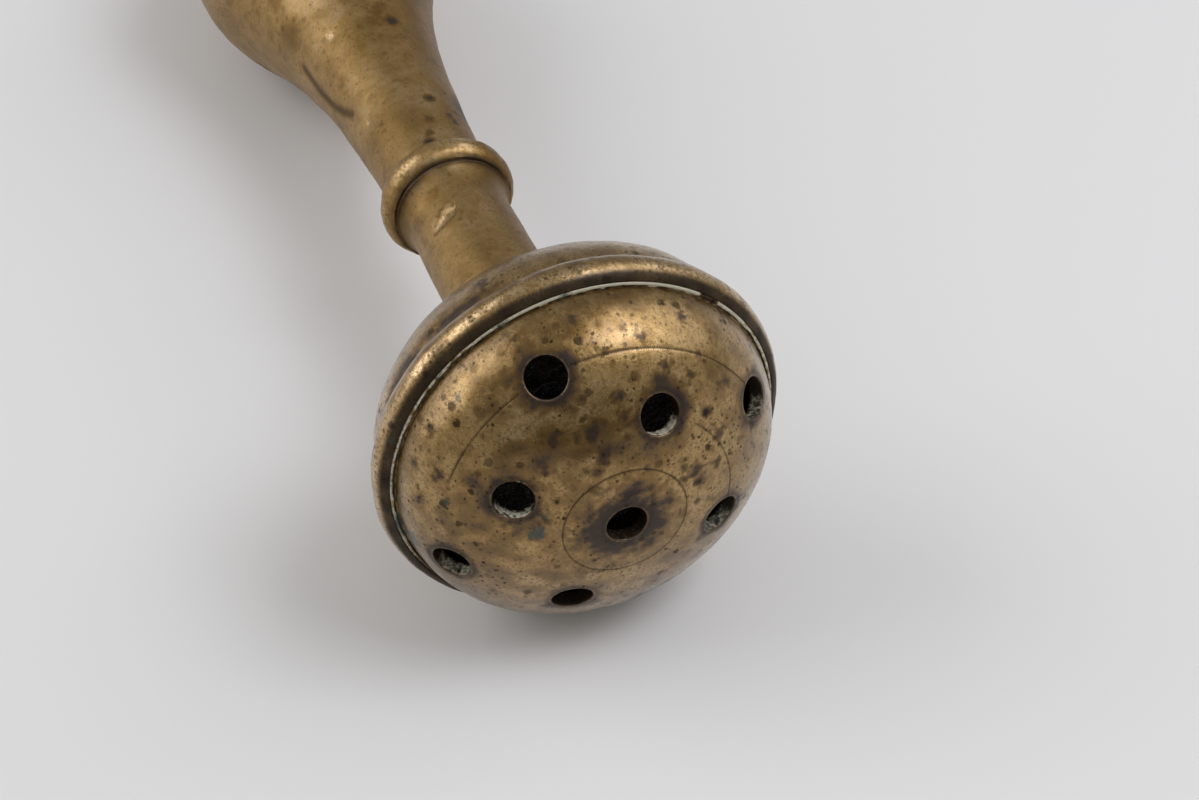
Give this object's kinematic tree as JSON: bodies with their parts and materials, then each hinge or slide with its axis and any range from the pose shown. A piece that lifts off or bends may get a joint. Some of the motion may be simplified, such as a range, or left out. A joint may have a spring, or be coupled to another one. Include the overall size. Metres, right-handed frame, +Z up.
{
  "type": "aspergillum",
  "caption": "Brass holy-water sprinkler with a pierced, screwed-on dome over a sponge, a beaded bowl, a ringed neck and a hollow baluster handle with a ball finial.",
  "frame": {"origin": "on the table under the middle of the object's box, where it lies on its bead and its bulb", "axes": "+Z up from the table, +X along the table towards the pierced head, +Y to the side"},
  "size_m": [0.1954, 0.054, 0.0539],
  "materials": {
    "brass": "worn old cast brass with brown patina, dark spots and traces of green",
    "leather": "dark oiled leather, cut edges",
    "sponge": "natural sponge, damp and brown"
  },
  "bodies": {
    "handle": {"handle": "brass"},
    "neck_seal": {"neck_washer": "leather"},
    "head": {"neck": "brass", "head_bowl": "brass", "neck_nut": "brass", "sponge": "sponge"},
    "dome_seal": {"dome_washer": "leather"},
    "dome": {"sieve_dome": "brass"},
    "finial_seal": {"finial_washer": "leather"},
    "finial": {"finial": "brass"}
  },
  "joints": [
    {"name": "head_lift", "type": "slide", "parent": "handle", "child": "neck_seal", "axis": [0.9979, 0, 0.0645], "range_m": [0, 0.0112]},
    {"name": "head_turn", "type": "hinge", "parent": "neck_seal", "child": "head", "pos_m": [0.03069, 0, 0.02375], "axis": [0.9979, 0, 0.0645], "range_deg": [0, 2016.1]},
    {"name": "dome_lift", "type": "slide", "parent": "head", "child": "dome_seal", "axis": [0.9979, 0, 0.0645], "range_m": [0, 0.00489]},
    {"name": "dome_turn", "type": "hinge", "parent": "dome_seal", "child": "dome", "pos_m": [0.08019, 0, 0.02695], "axis": [0.9979, 0, 0.0645], "range_deg": [0, 800.1]},
    {"name": "finial_lift", "type": "slide", "parent": "handle", "child": "finial_seal", "axis": [-0.9979, 0, -0.0645], "range_m": [0, 0.0072]},
    {"name": "finial_turn", "type": "hinge", "parent": "finial_seal", "child": "finial", "pos_m": [-0.07536, 0, 0.01689], "axis": [-0.9979, 0, -0.0645], "range_deg": [0, 1296.1]}
  ],
  "couplings": [
    {"joint": "head_turn", "follows": "head_lift", "rad_per_m": 3141.6},
    {"joint": "dome_turn", "follows": "dome_lift", "rad_per_m": 2856},
    {"joint": "finial_turn", "follows": "finial_lift", "rad_per_m": 3141.6}
  ]
}
